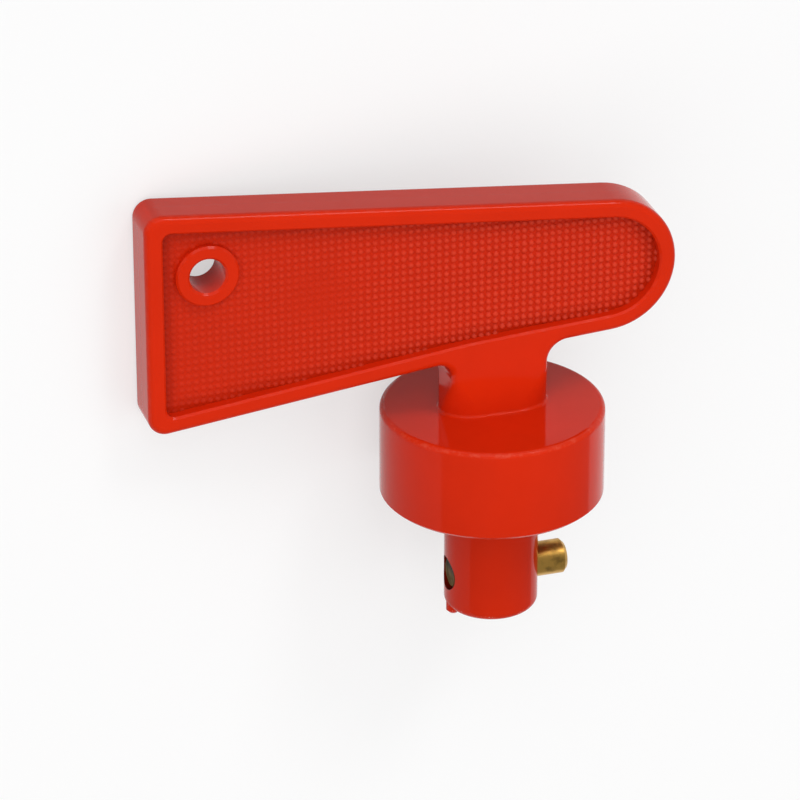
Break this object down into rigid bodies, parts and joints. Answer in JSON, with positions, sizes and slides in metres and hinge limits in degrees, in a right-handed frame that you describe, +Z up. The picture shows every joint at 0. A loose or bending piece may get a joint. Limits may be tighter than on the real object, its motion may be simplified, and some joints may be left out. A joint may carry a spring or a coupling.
{
  "type": "battery disconnect switch key",
  "caption": "Red moulded key for a battery disconnect switch: tapered flag handle with a ring hole, short stem, round splash cap and a shaft with a brass cross pin.",
  "frame": {"origin": "centre of the bounding box on the surface that the loose key lies on", "axes": "the key lies on its side: +Y along the key's axis from the shaft to the handle, +X along the handle towards its round nose, +Z up"},
  "size_m": [0.0758, 0.0698, 0.032],
  "materials": {
    "red_plastic": "glossy moulded red, fine scuffs",
    "brass": "turned, lightly tarnished"
  },
  "bodies": {
    "root": {"key_body": "red_plastic", "cross_pin": "brass"}
  },
  "joints": []
}
